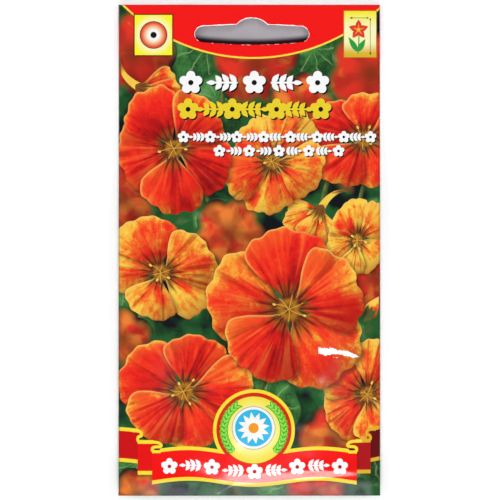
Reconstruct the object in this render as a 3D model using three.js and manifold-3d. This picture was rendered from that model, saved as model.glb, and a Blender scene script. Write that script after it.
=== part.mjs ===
// A paper seed packet lying on its back, with its printed front up and its hanging header towards +Y.
// One sheet of coated paper is folded at both long sides and lapped down the middle of the back.
// It is glued flat at the head and the foot, and a hook slot is punched through every layer of the head.
// Large corky seeds lie loose in the pocket, heaped at the foot, and the front sheet tents over them.
// Units are millimetres. The origin is under the middle of the packet, on the surface it lies on.
import * as THREE from "three";
import { mergeVertices } from "three/addons/utils/BufferGeometryUtils.js";
import Module from "manifold-3d";

// --- driving dimensions -------------------------------------------------------------------------

const packetWidth = 80;
const packetHeight = 150;
const paperThickness = 0.2; // coated paper with its gloss film
const gluedGap = 0.1; // left between two glued faces, so that the pocket is not a sealed void
const foldInnerRadius = 0.1;

const headerDepth = 29; // the flat glued head, from the top edge down
const footDepth = 3; // the flat glued foot, at the left
const footStep = 2; // how much deeper it is glued at the right
const lapWidth = 12; // overlap of the two back flaps
const lapRamp = 4; // over which the inner flap climbs onto the outer one
const rimHeight = 2; // how high the rim floats round the seeds while the filled pocket lies on the surface
const headRimHeight = 0.4; // how high it floats round the header, which sags
const rimSag = 40; // the stretch below the header over which the rim comes down

const slotLength = 35;
const slotEndHeight = 4.9;
const slotDomeWidth = 9.4; // the raised middle that centres the packet on a round hook
const slotShoulder = 3; // the dome's foot, above the slot's middle line
const slotDomeTop = 4.95; // the dome's peak, above the same line
const slotBelly = 0.8; // how far the lower edge bows down
const slotBelowTop = 9; // from the top edge to the slot's middle line
const slotAcross = 0.8; // the punch stands this far to the right of the middle

const pocketSwell = 1.5; // how far the front stands off the rim away from the seeds
const tentHeight = 3.35; // how far the seeds lift the front above that
const tentReach = 26; // how far from the heap the tent comes down
const tentMerge = 2; // higher rounds the line between two seeds' tents more
const tentFoot = { low: -1, left: 8.8, right: 3.8 }; // the tent's rise, measured above the glued foot

// How far each swelling takes to reach its full height from the pocket's sides, foot and head.
const backMargins = { side: 13, foot: 11, head: 16 };
const swellMargins = { side: 26, foot: 20, head: 34 };
const tentMargins = { side: 22, head: 40 };
const stackMargin = 8; // the same for the front's rise from the side folds onto the stack over the lap

const seedCount = 10;
const seedSize = 6.2; // mean diameter
const seedClearance = 0.15;
const heapX = 4;
const heapY = -45;
const heapSpacing = 4.7; // a seed's distance from the heap's middle is this times a square root
const heapStretch = 1.18; // the heap is this much wider than a round one

// --- small helpers ------------------------------------------------------------------------------

const halfWidth = packetWidth / 2;
const halfHeight = packetHeight / 2;
const headerEdge = halfHeight - headerDepth;
const footEdge = -halfHeight + footDepth;

const clamp01 = (t) => Math.min(1, Math.max(0, t));

function smoothstep(from, to, value) {
  const t = clamp01((value - from) / (to - from));
  return t * t * (3 - 2 * t);
}

function seededRandom(seed) {
  let state = seed >>> 0;
  return () => {
    state = (Math.imul(state, 1664525) + 1013904223) >>> 0;
    return state / 2 ** 32;
  };
}

// Even steps between the given stops, with about the wanted step in each stretch.
function stepsThrough(stops, wantedSteps) {
  const places = [stops[0]];
  for (let i = 1; i < stops.length; i++) {
    const from = stops[i - 1];
    const count = Math.max(1, Math.round(Math.abs(stops[i] - from) / wantedSteps[i - 1]));
    for (let k = 1; k <= count; k++) places.push(from + ((stops[i] - from) * k) / count);
  }
  return places;
}

// --- seeds --------------------------------------------------------------------------------------

// The upper face of the back, on which the seeds lie: one paper, or two over the lap.
function backInsideAt(x) {
  const lapEnd = lapWidth / 2;
  const overLap = x > lapEnd ? 0 : smoothstep(-lapEnd - lapRamp, -lapEnd, x);
  return paperThickness + (paperThickness + gluedGap) * overLap;
}

// A loose oval heap, one seed deep: seeds turn by the golden angle and spread as they go out.
function seedPlaces() {
  const random = seededRandom(41);
  const goldenAngle = Math.PI * (3 - Math.sqrt(5));
  const places = [];
  for (let i = 0; i < seedCount; i++) {
    const reach = heapSpacing * Math.sqrt(i + 0.5);
    const angle = i * goldenAngle;
    const x = heapX + heapStretch * reach * Math.cos(angle);
    const y = heapY + reach * Math.sin(angle);
    const size = seedSize * (0.95 + 0.1 * random());
    const turn = random() * Math.PI * 2;
    places.push({ x, y, size, turn });
  }
  return places;
}

const seeds = seedPlaces();

// A rounded three-sided nutlet with furrows running from pole to pole.
function seedGeometry(size, phase) {
  const geometry = new THREE.IcosahedronGeometry(1, 3);
  geometry.deleteAttribute("normal");
  geometry.deleteAttribute("uv");
  const welded = mergeVertices(geometry, 1e-4);
  const position = welded.getAttribute("position");
  const point = new THREE.Vector3();
  for (let i = 0; i < position.count; i++) {
    point.fromBufferAttribute(position, i);
    const around = Math.atan2(point.z, point.y);
    const waist = Math.sqrt(1 - point.x * point.x);
    const threeSided = 0.05 * Math.cos(3 * around + phase) * waist;
    const furrows = 0.045 * Math.cos(9 * around + 1.6 * Math.sin(3 * point.x + phase)) * waist;
    const radius = (size / 2) * (1 + threeSided + furrows);
    point.multiplyScalar(radius);
    point.x *= 1.12;
    position.setXYZ(i, point.x, point.y, point.z);
  }
  return welded;
}

function seedMesh(place, index, material) {
  const geometry = seedGeometry(place.size, index * 1.7);
  geometry.rotateZ(place.turn);
  geometry.computeBoundingBox();
  const floor = Math.max(backInsideAt(place.x), backInsideAt(place.x - 1), backInsideAt(place.x + 1));
  const seed = new THREE.Mesh(geometry, material);
  seed.name = `seed_${String(index + 1).padStart(2, "0")}`;
  seed.position.set(place.x, place.y, floor + seedClearance - geometry.boundingBox.min.z);
  return seed;
}

// --- shape of the folded sheet ------------------------------------------------------------------

// The height above the line where the glued foot ends, which steps up to the right.
function aboveFoot(x, y) {
  return y - footEdge - footStep * smoothstep(-10, 12, x);
}

// 1 over the middle of the pocket and 0 at its glued and folded edges, over the given margins.
function pocketShare(x, y, margins) {
  const side = smoothstep(0, margins.side, halfWidth - Math.abs(x));
  const foot = smoothstep(0, margins.foot, aboveFoot(x, y));
  const head = smoothstep(headerEdge, headerEdge - margins.head, y);
  return side * foot * head;
}

// The underside of the rim.
function rimAt(y) {
  return headRimHeight + (rimHeight - headRimHeight) * smoothstep(headerEdge, headerEdge - rimSag, y);
}

// The outside of the back: flat on the surface under the pocket, and lifted to the rim round it.
function backOutsideAt(x, y) {
  return rimAt(y) * (1 - pocketShare(x, y, backMargins));
}

// How far the heap of seeds lifts the front. It rises steeply from the glued foot, and then levels off.
function tentAt(x, y) {
  let sum = 0;
  for (const seed of seeds) sum += Math.exp(-Math.hypot(x - seed.x, y - seed.y) / tentMerge);
  const away = -tentMerge * Math.log(Math.max(sum, 1e-12));
  const footMargin = tentFoot.right + (tentFoot.left - tentFoot.right) * smoothstep(-4, -16, x);
  const foot = smoothstep(tentFoot.low, footMargin, aboveFoot(x, y));
  const side = smoothstep(0, tentMargins.side, halfWidth - Math.abs(x));
  const head = smoothstep(headerEdge, headerEdge - tentMargins.head, y);
  return tentHeight * smoothstep(tentReach, 0, away) * foot * side * head;
}

// The middle of the front sheet's thickness.
function frontMiddleAt(x, y) {
  const stackAtFold = paperThickness + 2 * foldInnerRadius;
  const stackOverLap = 2 * (paperThickness + gluedGap);
  const inward = smoothstep(0, stackMargin, halfWidth - Math.abs(x));
  const flat = rimAt(y) + paperThickness / 2 + stackAtFold + (stackOverLap - stackAtFold) * inward;
  return flat + pocketSwell * pocketShare(x, y, swellMargins) + tentAt(x, y);
}

// The middle of the back's thickness: the outer flap, or the inner flap that climbs onto it.
function backMiddleAt(x, y, isInnerFlap) {
  const climb = isInnerFlap ? smoothstep(-lapWidth / 2 - lapRamp, -lapWidth / 2, x) : 0;
  return backOutsideAt(x, y) + paperThickness / 2 + (paperThickness + gluedGap) * climb;
}

// Stations round the sheet, from the end of the inner flap to the end of the outer one.
// Each gives the sheet's middle and its outward direction in the cross-section at a row.
function sheetStations() {
  const foldRadius = foldInnerRadius + paperThickness / 2;
  const foldX = halfWidth - foldInnerRadius - paperThickness;
  const lapEnd = lapWidth / 2;
  const foldSteps = 4;
  const stations = [];
  const flat = (x, middleAt, up) =>
    stations.push((y) => ({ x, z: middleAt(x, y), outX: 0, outZ: up }));
  const fold = (side, turn) =>
    stations.push((y) => {
      const low = backMiddleAt(side * foldX, y, false);
      const angle = Math.PI * turn;
      const outX = side * Math.sin(angle);
      const outZ = -Math.cos(angle);
      return { x: side * foldX + foldRadius * outX, z: low + foldRadius * (1 + outZ), outX, outZ };
    });

  const innerFlap = stepsThrough([lapEnd, -lapEnd, -lapEnd - lapRamp, -foldX], [6, 2, 4.5]);
  for (const x of innerFlap) flat(x, (px, y) => backMiddleAt(px, y, true), -1);
  for (let k = 1; k < foldSteps; k++) fold(-1, k / foldSteps);
  for (const x of stepsThrough([-foldX, foldX], [3])) flat(x, frontMiddleAt, 1);
  for (let k = foldSteps - 1; k > 0; k--) fold(1, k / foldSteps);
  for (const x of stepsThrough([foldX, lapEnd, -lapEnd], [4.5, 6])) {
    flat(x, (px, y) => backMiddleAt(px, y, false), -1);
  }
  return stations;
}

// Rows up the packet: closest where the front rises from the glued foot, wide where the sheet is flat.
function sheetRows() {
  const risen = footEdge + footStep + tentFoot.right;
  const tentTop = heapY + heapSpacing * Math.sqrt(seedCount) + tentReach;
  const stops = [-halfHeight, footEdge, risen, tentTop, headerEdge, halfHeight];
  return stepsThrough(stops, [8, 1, 3, 5, 29]);
}

// A closed slab: the outer and inner faces of the sheet, joined along its four edges.
function sheetGeometry() {
  const stations = sheetStations();
  const rows = sheetRows();
  const columns = stations.length;
  const points = [];
  for (const face of [1, -1]) {
    for (const y of rows) {
      for (const station of stations) {
        const { x, z, outX, outZ } = station(y);
        const offset = (face * paperThickness) / 2;
        points.push(x + outX * offset, y, z + outZ * offset);
      }
    }
  }
  const layer = rows.length * columns;
  const at = (face, row, column) => face * layer + row * columns + column;
  const triangles = [];
  const quad = (a, b, c, d) => triangles.push(a, b, c, a, c, d);
  for (let r = 0; r + 1 < rows.length; r++) {
    for (let c = 0; c + 1 < columns; c++) {
      quad(at(0, r, c), at(0, r, c + 1), at(0, r + 1, c + 1), at(0, r + 1, c));
      quad(at(1, r, c), at(1, r + 1, c), at(1, r + 1, c + 1), at(1, r, c + 1));
    }
    quad(at(0, r, 0), at(0, r + 1, 0), at(1, r + 1, 0), at(1, r, 0));
    const last = columns - 1;
    quad(at(0, r, last), at(1, r, last), at(1, r + 1, last), at(0, r + 1, last));
  }
  const top = rows.length - 1;
  for (let c = 0; c + 1 < columns; c++) {
    quad(at(0, 0, c), at(1, 0, c), at(1, 0, c + 1), at(0, 0, c + 1));
    quad(at(0, top, c), at(0, top, c + 1), at(1, top, c + 1), at(1, top, c));
  }
  const geometry = new THREE.BufferGeometry();
  geometry.setAttribute("position", new THREE.Float32BufferAttribute(points, 3));
  geometry.setIndex(triangles);
  return geometry;
}

// --- the punched hook slot ----------------------------------------------------------------------

// The radius of an arc over a half chord with the given rise, and the half angle that it spans.
function arcOver(halfChord, rise) {
  const radius = (halfChord ** 2 + rise ** 2) / (2 * rise);
  return { radius, halfAngle: Math.asin(halfChord / radius) };
}

// A long slot with round ends, a bowed lower edge and a dome in the middle of its upper edge.
function slotCutterGeometry() {
  const endRadius = slotEndHeight / 2;
  const endX = slotLength / 2 - endRadius;
  const belly = arcOver(endX, slotBelly);
  const dome = arcOver(slotDomeWidth / 2, slotDomeTop - slotShoulder);
  const up = Math.PI / 2;
  const down = -Math.PI / 2;
  const bellyY = -endRadius - slotBelly + belly.radius;
  const domeY = slotDomeTop - dome.radius;
  const outline = new THREE.Shape();
  outline.absarc(-endX, 0, endRadius, up, up + Math.PI, false);
  outline.absarc(0, bellyY, belly.radius, down - belly.halfAngle, down + belly.halfAngle, false);
  outline.absarc(endX, 0, endRadius, down, up, false);
  outline.absarc(0, domeY, dome.radius, up - dome.halfAngle, up + dome.halfAngle, false);
  outline.closePath();
  const depth = 8;
  const cutter = new THREE.ExtrudeGeometry(outline, { depth, bevelEnabled: false, curveSegments: 10 });
  cutter.translate(slotAcross, halfHeight - slotBelowTop, rimHeight - depth / 2);
  return cutter;
}

const wasm = await Module();
wasm.setup();

function solidFrom(geometry) {
  const bare = geometry.clone();
  for (const name of Object.keys(bare.attributes)) if (name !== "position") bare.deleteAttribute(name);
  const merged = mergeVertices(bare, 1e-4);
  return new wasm.Manifold(
    new wasm.Mesh({
      numProp: 3,
      vertProperties: new Float32Array(merged.getAttribute("position").array),
      triVerts: new Uint32Array(merged.index.array),
    }),
  );
}

function geometryFrom(solid) {
  const mesh = solid.getMesh();
  const geometry = new THREE.BufferGeometry();
  geometry.setAttribute("position", new THREE.Float32BufferAttribute(mesh.vertProperties, 3));
  geometry.setIndex(new THREE.BufferAttribute(mesh.triVerts, 1));
  geometry.computeVertexNormals();
  return geometry;
}

// --- assembly -----------------------------------------------------------------------------------

const printedPaper = new THREE.MeshStandardMaterial({ color: 0xd8401c, roughness: 0.3, metalness: 0 });
const corkySeed = new THREE.MeshStandardMaterial({ color: 0xb79a6c, roughness: 0.9, metalness: 0 });

function packetSheet() {
  const folded = solidFrom(sheetGeometry());
  const punched = folded.subtract(solidFrom(slotCutterGeometry()));
  const sheet = new THREE.Mesh(geometryFrom(punched), printedPaper);
  sheet.name = "packet_sheet";
  return sheet;
}

const packet = new THREE.Group();
packet.add(packetSheet());
seeds.forEach((place, index) => packet.add(seedMesh(place, index, corkySeed)));

export default packet;
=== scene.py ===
import math
import random

import bmesh
import bpy
import mathutils
import numpy as np
from mathutils.geometry import delaunay_2d_cdt
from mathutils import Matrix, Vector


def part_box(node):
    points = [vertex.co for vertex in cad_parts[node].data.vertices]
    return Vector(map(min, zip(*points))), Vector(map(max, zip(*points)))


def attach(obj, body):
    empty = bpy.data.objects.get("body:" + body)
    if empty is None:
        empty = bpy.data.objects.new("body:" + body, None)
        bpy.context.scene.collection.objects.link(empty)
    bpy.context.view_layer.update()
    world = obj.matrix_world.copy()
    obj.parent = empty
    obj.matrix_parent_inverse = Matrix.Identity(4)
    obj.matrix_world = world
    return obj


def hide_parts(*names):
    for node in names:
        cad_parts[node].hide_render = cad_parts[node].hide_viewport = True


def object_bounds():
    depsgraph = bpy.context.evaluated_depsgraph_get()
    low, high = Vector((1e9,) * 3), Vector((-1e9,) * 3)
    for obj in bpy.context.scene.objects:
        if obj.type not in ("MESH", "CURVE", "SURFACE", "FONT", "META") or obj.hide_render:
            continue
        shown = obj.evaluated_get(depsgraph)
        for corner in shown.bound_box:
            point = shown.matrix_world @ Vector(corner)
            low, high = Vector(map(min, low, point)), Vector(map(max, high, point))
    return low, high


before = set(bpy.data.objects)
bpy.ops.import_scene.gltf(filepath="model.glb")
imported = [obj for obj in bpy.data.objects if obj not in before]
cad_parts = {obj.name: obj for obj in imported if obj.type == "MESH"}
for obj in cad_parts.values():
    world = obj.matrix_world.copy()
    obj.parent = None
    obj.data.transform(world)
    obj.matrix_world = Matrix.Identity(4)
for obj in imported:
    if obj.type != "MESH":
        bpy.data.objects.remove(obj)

cad_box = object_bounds()
scene = bpy.context.scene
scene.view_settings.view_transform = "Standard"

# --- The camera ---------------------------------------------------------------------------------
# A long lens straight above the packet, so that the printed front is seen square on.
# The picture spans a little more floor than the packet is tall, and its height is measured on a
# plane a third of the way up the packet.

picture_height = 0.1527
picture_middle = 0.0002
picture_plane = cad_box[1].z / 3
lens = 200
sensor = 36
camera = bpy.data.objects.new("camera", bpy.data.cameras.new("camera"))
camera.data.lens = lens
camera.data.sensor_width = sensor
camera.location = (picture_middle, 0, picture_plane + picture_height * lens / sensor)
scene.collection.objects.link(camera)
scene.camera = camera

# --- The table and the light --------------------------------------------------------------------
# A wide matt white table top, which isn't part of the packet, under soft lamps.
# One stands off each of the packet's four sides, so that its shadows are faint.


class Wire:
    """A socket of a node tree. Arithmetic on it adds Math nodes, and node() adds any other node."""

    def __init__(self, tree, socket=None):
        self.tree = tree
        self.socket = socket

    def node(self, kind, settings=None, inputs=None, output=0):
        made = self.tree.nodes.new("ShaderNode" + kind)
        for name, value in (settings or {}).items():
            if name == "stops":
                while len(made.color_ramp.elements) < len(value):
                    made.color_ramp.elements.new(0.5)
                for stop, (place, colour) in zip(made.color_ramp.elements, value):
                    stop.position = place
                    stop.color = colour
            else:
                setattr(made, name, value)
        for name, value in (inputs or {}).items():
            open_sockets = [s for s in made.inputs if s.enabled]
            if isinstance(name, int):
                socket = open_sockets[name]
            else:
                socket = next(s for s in open_sockets if s.name == name)
            if isinstance(value, Wire):
                self.tree.links.new(value.socket, socket)
            else:
                socket.default_value = value
        outputs = [s for s in made.outputs if s.enabled]
        if isinstance(output, int):
            return Wire(self.tree, outputs[output])
        return Wire(self.tree, next(s for s in outputs if s.name == output))

    def maths(self, operation, *values):
        return self.node("Math", {"operation": operation}, dict(enumerate(values)))

    def __add__(self, other):
        return self.maths("ADD", self, other)

    def __sub__(self, other):
        return self.maths("SUBTRACT", self, other)

    def __rsub__(self, other):
        return self.maths("SUBTRACT", other, self)

    def __mul__(self, other):
        return self.maths("MULTIPLY", self, other)

    def __pow__(self, other):
        return self.maths("POWER", self, other)

    __radd__ = __add__
    __rmul__ = __mul__


def ink(red, green, blue):
    """A printed colour, given as screen values up to 255, as the linear colour that nodes take."""
    linear = [((c / 255 + 0.055) / 1.055) ** 2.4 if c > 10 else c / 255 / 12.92 for c in (red, green, blue)]
    return (*linear, 1.0)


def mix(share, first, second, how="MIX"):
    """The first colour where share is 0 and the second where it is 1."""
    settings = {"data_type": "RGBA", "blend_type": how, "clamp_factor": True}
    return share.node("Mix", settings, {"Factor": share, "A": first, "B": second})


def ease(value, low, high):
    """0 at low and 1 at high, with a soft turn at both."""
    inputs = {"Value": value, "From Min": low, "From Max": high}
    return value.node("MapRange", {"interpolation_type": "SMOOTHSTEP"}, inputs)


def noise(start, vector, scale, detail=3.0, roughness=0.55, distortion=0.0):
    inputs = {"Vector": vector, "Scale": scale, "Detail": detail}
    inputs |= {"Roughness": roughness, "Distortion": distortion}
    return start.node("TexNoise", None, inputs)


def new_material(name):
    """A material with its shader, and a wire that further nodes start from."""
    material = bpy.data.materials.new(name)
    material.use_nodes = True
    shader = material.node_tree.nodes["Principled BSDF"]
    return material, shader, Wire(material.node_tree)


def feed(shader, socket, wire):
    wire.tree.links.new(wire.socket, shader.inputs[socket])


def table_finish():
    material, shader, start = new_material("table_top")
    place = start.node("TexCoord", None, None, "Object")
    mottle = noise(start, place, 7.0)
    feed(shader, "Base Color", mix(mottle, ink(247, 247, 247), ink(251, 251, 251)))
    shader.inputs["Roughness"].default_value = 0.8
    shader.inputs["Specular IOR Level"].default_value = 0.2
    return material


table_reach = 3.0
table_drop = 0.0002  # leaves room for the card
table_mesh = bpy.data.meshes.new("table_top")
table_corners = [(sx * table_reach, sy * table_reach, 0) for sx, sy in ((-1, -1), (1, -1), (1, 1), (-1, 1))]
table_mesh.from_pydata(table_corners, [], [(0, 1, 2, 3)])
table_mesh.materials.append(table_finish())
table_top = bpy.data.objects.new("table_top", table_mesh)
table_top.location.z = -table_drop
scene.collection.objects.link(table_top)

# A grey card lies on the table under the header, so that it shows through the hook slot. Its foot is
# black below a soft arc, a painted shadow of the slot's lower edge. The arc is given by its middle,
# its radius and how far it blurs outward.
card_shadow_arc = (0.0008, 0.20471, 0), 0.1394, 0.0018
card_outline = ((-0.024, 0.058), (0.025, 0.058), (0.025, 0.0735), (-0.024, 0.0735))
card_thickness = 0.00015


def card_finish():
    material, shader, start = new_material("grey_card")
    place = start.node("TexCoord", None, None, "Object")
    grey = mix(noise(start, place, 300.0), ink(155, 150, 155), ink(165, 160, 165))
    middle, radius, blur = card_shadow_arc
    from_middle = start.node("VectorMath", {"operation": "DISTANCE"}, {0: place, 1: middle}, "Value")
    # Black below the arc: painted shadow of the slot's lower edge on the card.
    feed(shader, "Base Color", mix(ease(from_middle, radius, radius + blur), grey, ink(36, 14, 24)))
    shader.inputs["Roughness"].default_value = 0.9
    shader.inputs["Specular IOR Level"].default_value = 0.1
    return material


card_mesh = bpy.data.meshes.new("grey_card")
card_corners = [(x, y, z) for z in (-card_thickness, 0) for x, y in card_outline]
card_sides = [(a, (a + 1) % 4, (a + 1) % 4 + 4, a + 4) for a in range(4)]
card_mesh.from_pydata(card_corners, [], [(3, 2, 1, 0), (4, 5, 6, 7)] + card_sides)
card_mesh.materials.append(card_finish())
grey_card = bpy.data.objects.new("grey_card", card_mesh)
scene.collection.objects.link(grey_card)

# Each lamp: the direction it stands in, its tilt from the vertical, its size and its share of the
# light. The lamp at the foot is what the film mirrors where the front rises from the glued foot.
lamp_distance = 1.1
table_light = 1.15  # how bright the lamps together make a white table, 1 being full white
lamps = {
    "lamp_foot": (-88, 56, 0.52, 0.36),
    "lamp_right": (2, 57, 0.5, 0.2),
    "lamp_left": (178, 57, 0.5, 0.2),
    "lamp_head": (90, 57, 0.5, 0.24),
}
for name, (around, tilt, size, share) in lamps.items():
    lamp = bpy.data.objects.new(name, bpy.data.lights.new(name, "AREA"))
    lamp.data.size = size
    around, tilt = math.radians(around), math.radians(tilt)
    lamp.data.energy = share * table_light * math.pi**2 * lamp_distance**2 / math.cos(tilt)
    lamp.location = (
        lamp_distance * math.sin(tilt) * math.cos(around),
        lamp_distance * math.sin(tilt) * math.sin(around),
        lamp_distance * math.cos(tilt),
    )
    lamp.rotation_euler = (-lamp.location).to_track_quat("-Z", "Y").to_euler()
    scene.collection.objects.link(lamp)

# The room is darker overhead than round the sides, so that the film shows little veil from above.
room_side, room_top = (0.72, 0.72, 0.72, 1), (0.06, 0.06, 0.06, 1)
world = bpy.data.worlds.new("room")
world.use_nodes = True
background = world.node_tree.nodes["Background"]
room = Wire(world.node_tree)
upward = room.node("SeparateXYZ", None, {0: room.node("TexCoord", None, None, "Generated")}, "Z")
room_light = mix(ease(upward, 0.1, 0.55), room_side, room_top)
room.tree.links.new(room_light.socket, background.inputs["Color"])
scene.world = world

# --- The sheet's form ---------------------------------------------------------------------------
# One sheet of coated paper is folded at both long sides and lapped down the middle of the back.
# It is glued flat at the head and the foot, and its front tents over the heap of seeds.
# Lengths are in millimetres until the mesh is made.

MM = 0.001
sheet_box = [np.array(corner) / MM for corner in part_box("packet_sheet")]
half_width, half_height = sheet_box[1][:2]
seed_nodes = [name for name in sorted(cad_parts) if name.startswith("seed_")]
seed_spots = [sum(np.array(corner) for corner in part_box(name)) / 2 / MM for name in seed_nodes]
heap = sum(seed_spots) / len(seed_spots)

paper = 0.2
glued_gap = 0.1  # stands for the glue between two layers
fold_inner_radius = 0.1
rim_height, head_rim_height = 2.0, 0.4  # from the table to the rim round the pocket and to the header
header_edge = half_height - 29
head_slope = 40  # how far below the header the pocket comes to its full height
foot_edge = -half_height + 3
foot_step = 1.0  # how much further up the glue reaches at the right of the foot
lap_end = 6  # how far both flaps of the back go past its middle
lap_ramp = 4  # over what length the inner flap climbs onto the outer one
pocket_swell = 1.5
tent_height = 3.35
tent_reach = 26
tent_merge = 2  # how softly the tents over neighbouring seeds run together
seed_dip, seed_dip_reach = 0.75, 3.6

fold_x = half_width - fold_inner_radius - paper
fold_radius = fold_inner_radius + paper / 2
fold_arc = math.pi * fold_radius
back_start = fold_x + fold_arc  # where the back begins, measured round the sheet from the front's middle
sheet_reach = back_start + fold_x + lap_end


def smooth(low, high, value):
    t = np.clip((value - low) / (high - low), 0, 1)
    return t * t * (3 - 2 * t)


def above_foot(x, y):
    """The height above the line where the glued foot ends, which steps up a little to the right."""
    return y - foot_edge - foot_step * smooth(-10, 12, x)


def pocket_share(x, y, side_margin, foot_margin, head_margin):
    """1 over the middle of the pocket and 0 at its glued and folded edges."""
    side = smooth(0, side_margin, half_width - np.abs(x))
    foot = smooth(0, foot_margin, above_foot(x, y))
    return side * foot * smooth(header_edge, header_edge - head_margin, y)


def rim_at(y):
    """The underside of the rim, which comes down to the header."""
    drop = rim_height - head_rim_height
    return head_rim_height + drop * smooth(header_edge, header_edge - head_slope, y)


def tent_at(x, y):
    """How far the heap of seeds lifts the front, which rises steeply from the glued foot."""
    away = sum(np.exp(-np.hypot(x - s[0], y - s[1]) / tent_merge) for s in seed_spots)
    away = -tent_merge * np.log(np.maximum(away, 1e-12))
    side = smooth(0, 22, half_width - np.abs(x))
    foot = smooth(-1, 3.8 + 5 * smooth(-4, -16, x), above_foot(x, y))
    head = smooth(header_edge, header_edge - head_slope, y)
    return tent_height * smooth(tent_reach, 0, away) * side * foot * head


def ridge(x, y, start, end, width, height, sharpness):
    """A raised line from start to end that fades at both. Sharpness 2 is a soft fold and 1 a hard crease."""
    along = np.subtract(end, start)
    length = math.hypot(*along)
    along = along / length
    run = ((x - start[0]) * along[0] + (y - start[1]) * along[1]) / length
    off = np.abs((y - start[1]) * along[0] - (x - start[0]) * along[1])
    fade = smooth(0, 0.3, run) * smooth(1, 0.65, run)
    return height * fade * np.exp(-((off / width) ** sharpness))


# Soft folds fan out from the heap of seeds towards the packet's edges, and a few hard creases cross
# them. Each is given by its two ends, its width and its height.
fold_draw = random.Random(5)
fold_count = 22
soft_folds = []
for k in range(fold_count):
    angle = 2 * math.pi * (k + fold_draw.uniform(-0.3, 0.3)) / fold_count
    near, far = fold_draw.uniform(9, 15), fold_draw.uniform(24, 52)
    start = heap[:2] + near * np.array([1.2 * math.cos(angle), math.sin(angle)])
    end = heap[:2] + far * np.array([math.cos(angle), 1.3 * math.sin(angle)])
    width, height = fold_draw.uniform(1.7, 3.4), fold_draw.choice((-1, 1)) * fold_draw.uniform(0.05, 0.17)
    soft_folds.append((start, end, width, height))
soft_folds.append(((10, -67.2), (43, -67.9), 2.2, 0.75))  # the bend above the glued foot at the right
hard_creases = [
    ((18.6, -30.6), (35.4, -32.6), 0.8, 0.34),
    ((-31.0, -50.5), (-20.0, -58.0), 0.7, 0.16),
    ((9.0, 38.0), (24.0, 44.5), 0.8, 0.12),
    ((-11.4, -75.0), (-3.6, -70.4), 0.8, 0.42),
]


def sway(x, y):
    """The glued rim isn't quite flat: it waves a little, with all its layers together."""
    wave = np.sin(0.061 * x + 0.043 * y + 0.6) + 0.6 * np.sin(0.024 * x - 0.087 * y + 2.1)
    return 0.16 * wave * (1 - pocket_share(x, y, 16, 12, 18))


def front_middle(x, y):
    """The height of the middle of the front's thickness."""
    at_fold = paper + 2 * fold_inner_radius
    over_lap = 2 * (paper + glued_gap)
    flat = rim_at(y) + paper / 2 + at_fold + (over_lap - at_fold) * smooth(0, 8, half_width - np.abs(x))
    tent = tent_at(x, y)
    nearest = np.min([(x - s[0]) ** 2 + (y - s[1]) ** 2 for s in seed_spots], axis=0)
    dips = seed_dip * (tent / tent_height) ** 2 * (1 - np.exp(-nearest / seed_dip_reach**2))
    folds = sum(ridge(x, y, start, end, width, height, 2) for start, end, width, height in soft_folds)
    creases = sum(ridge(x, y, start, end, width, height, 1) for start, end, width, height in hard_creases)
    relief = (folds - dips) * pocket_share(x, y, 9, 5, 12) + creases
    return flat + pocket_swell * pocket_share(x, y, 26, 20, 34) + tent + relief + sway(x, y)


def back_middle(x, y, is_inner_flap):
    """The height of the middle of the back's thickness. The inner flap climbs onto the outer one."""
    climb = np.where(is_inner_flap, smooth(-lap_end - lap_ramp, -lap_end, x), 0)
    outside = rim_at(y) * (1 - pocket_share(x, y, 13, 11, 16))
    return outside + paper / 2 + (paper + glued_gap) * climb + sway(x, y)


def sheet_at(across, y):
    """The printed face of the sheet and its outward direction, at distances across and up the flat sheet."""
    side, reach = np.sign(across), np.abs(across)
    turn = np.clip((reach - fold_x) / fold_arc, 0, 1) * math.pi
    x_back = side * np.minimum(fold_x, fold_x - (reach - back_start))
    x = np.where(reach <= fold_x, across, x_back)
    level = np.where(reach <= fold_x, front_middle(x, y), back_middle(x, y, side < 0))
    on_fold = (reach > fold_x) & (reach < back_start)
    fold_level = back_middle(side * fold_x, y, side < 0) + fold_radius * (1 + np.cos(turn))
    level = np.where(on_fold, fold_level, level)
    x = np.where(on_fold, side * (fold_x + fold_radius * np.sin(turn)), x)
    outward = np.stack([side * np.sin(turn), np.zeros_like(turn), np.cos(turn)], axis=1)
    return np.stack([x, y, level], axis=1) + outward * paper / 2, outward


def facing_at(across, y):
    """The exact direction that the printed face looks in, so that its gloss is true between the points."""
    side, reach = np.sign(across), np.abs(across)
    on_front, on_back = (reach <= fold_x)[:, None], (reach >= back_start)[:, None]
    x = np.where(on_front[:, 0], across, side * (fold_x - (reach - back_start)))
    step = 0.02
    facing = sheet_at(across, y)[1]
    for is_here, level in ((on_front, front_middle), (on_back, lambda x, y: -back_middle(x, y, side < 0))):
        east = (level(x - step, y) - level(x + step, y)) / (2 * step)
        north = (level(x, y - step) - level(x, y + step)) / (2 * step)
        upward = np.where(is_here[:, 0], facing[:, 2], 1)
        facing = np.where(is_here, np.stack([east, north, upward], axis=1), facing)
    return facing / np.linalg.norm(facing, axis=1)[:, None]


# --- The print: how it is laid down -------------------------------------------------------------
# The sheet is printed flat, before it is cut and folded, so each shape of the print is an outline
# on the flat sheet. Later shapes cover earlier ones. All inks lie under one clear gloss film.

printed = []
finishes = {}


class Shape:
    """One shape of the print: its outline, its finish and the values that the finish reads."""

    def __init__(self, outline, finish, colour=(0, 0, 0, 1), where=None, **values):
        outline = np.asarray(outline, float)
        following = np.roll(outline, -1, axis=0)
        turns_left = (outline[:, 0] * following[:, 1] - following[:, 0] * outline[:, 1]).sum() > 0
        self.outline = outline if turns_left else outline[::-1]
        self.finish = finish
        self.ink_colour = colour
        self.where = where or (lambda points: points)
        self.tone = values.get("tone", 0.5)
        self.warm = values.get("warm", 0.5)
        self.slant = values.get("slant", 0.0)
        self.casts = values.get("casts")  # how dark and how wide a shadow it throws on what it covers
        self.dome = values.get("dome")  # the middle and the size of a rounded thing, for its light side
        printed.append(self)


def heading(degrees):
    return np.array([math.cos(math.radians(degrees)), math.sin(math.radians(degrees))])


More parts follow.
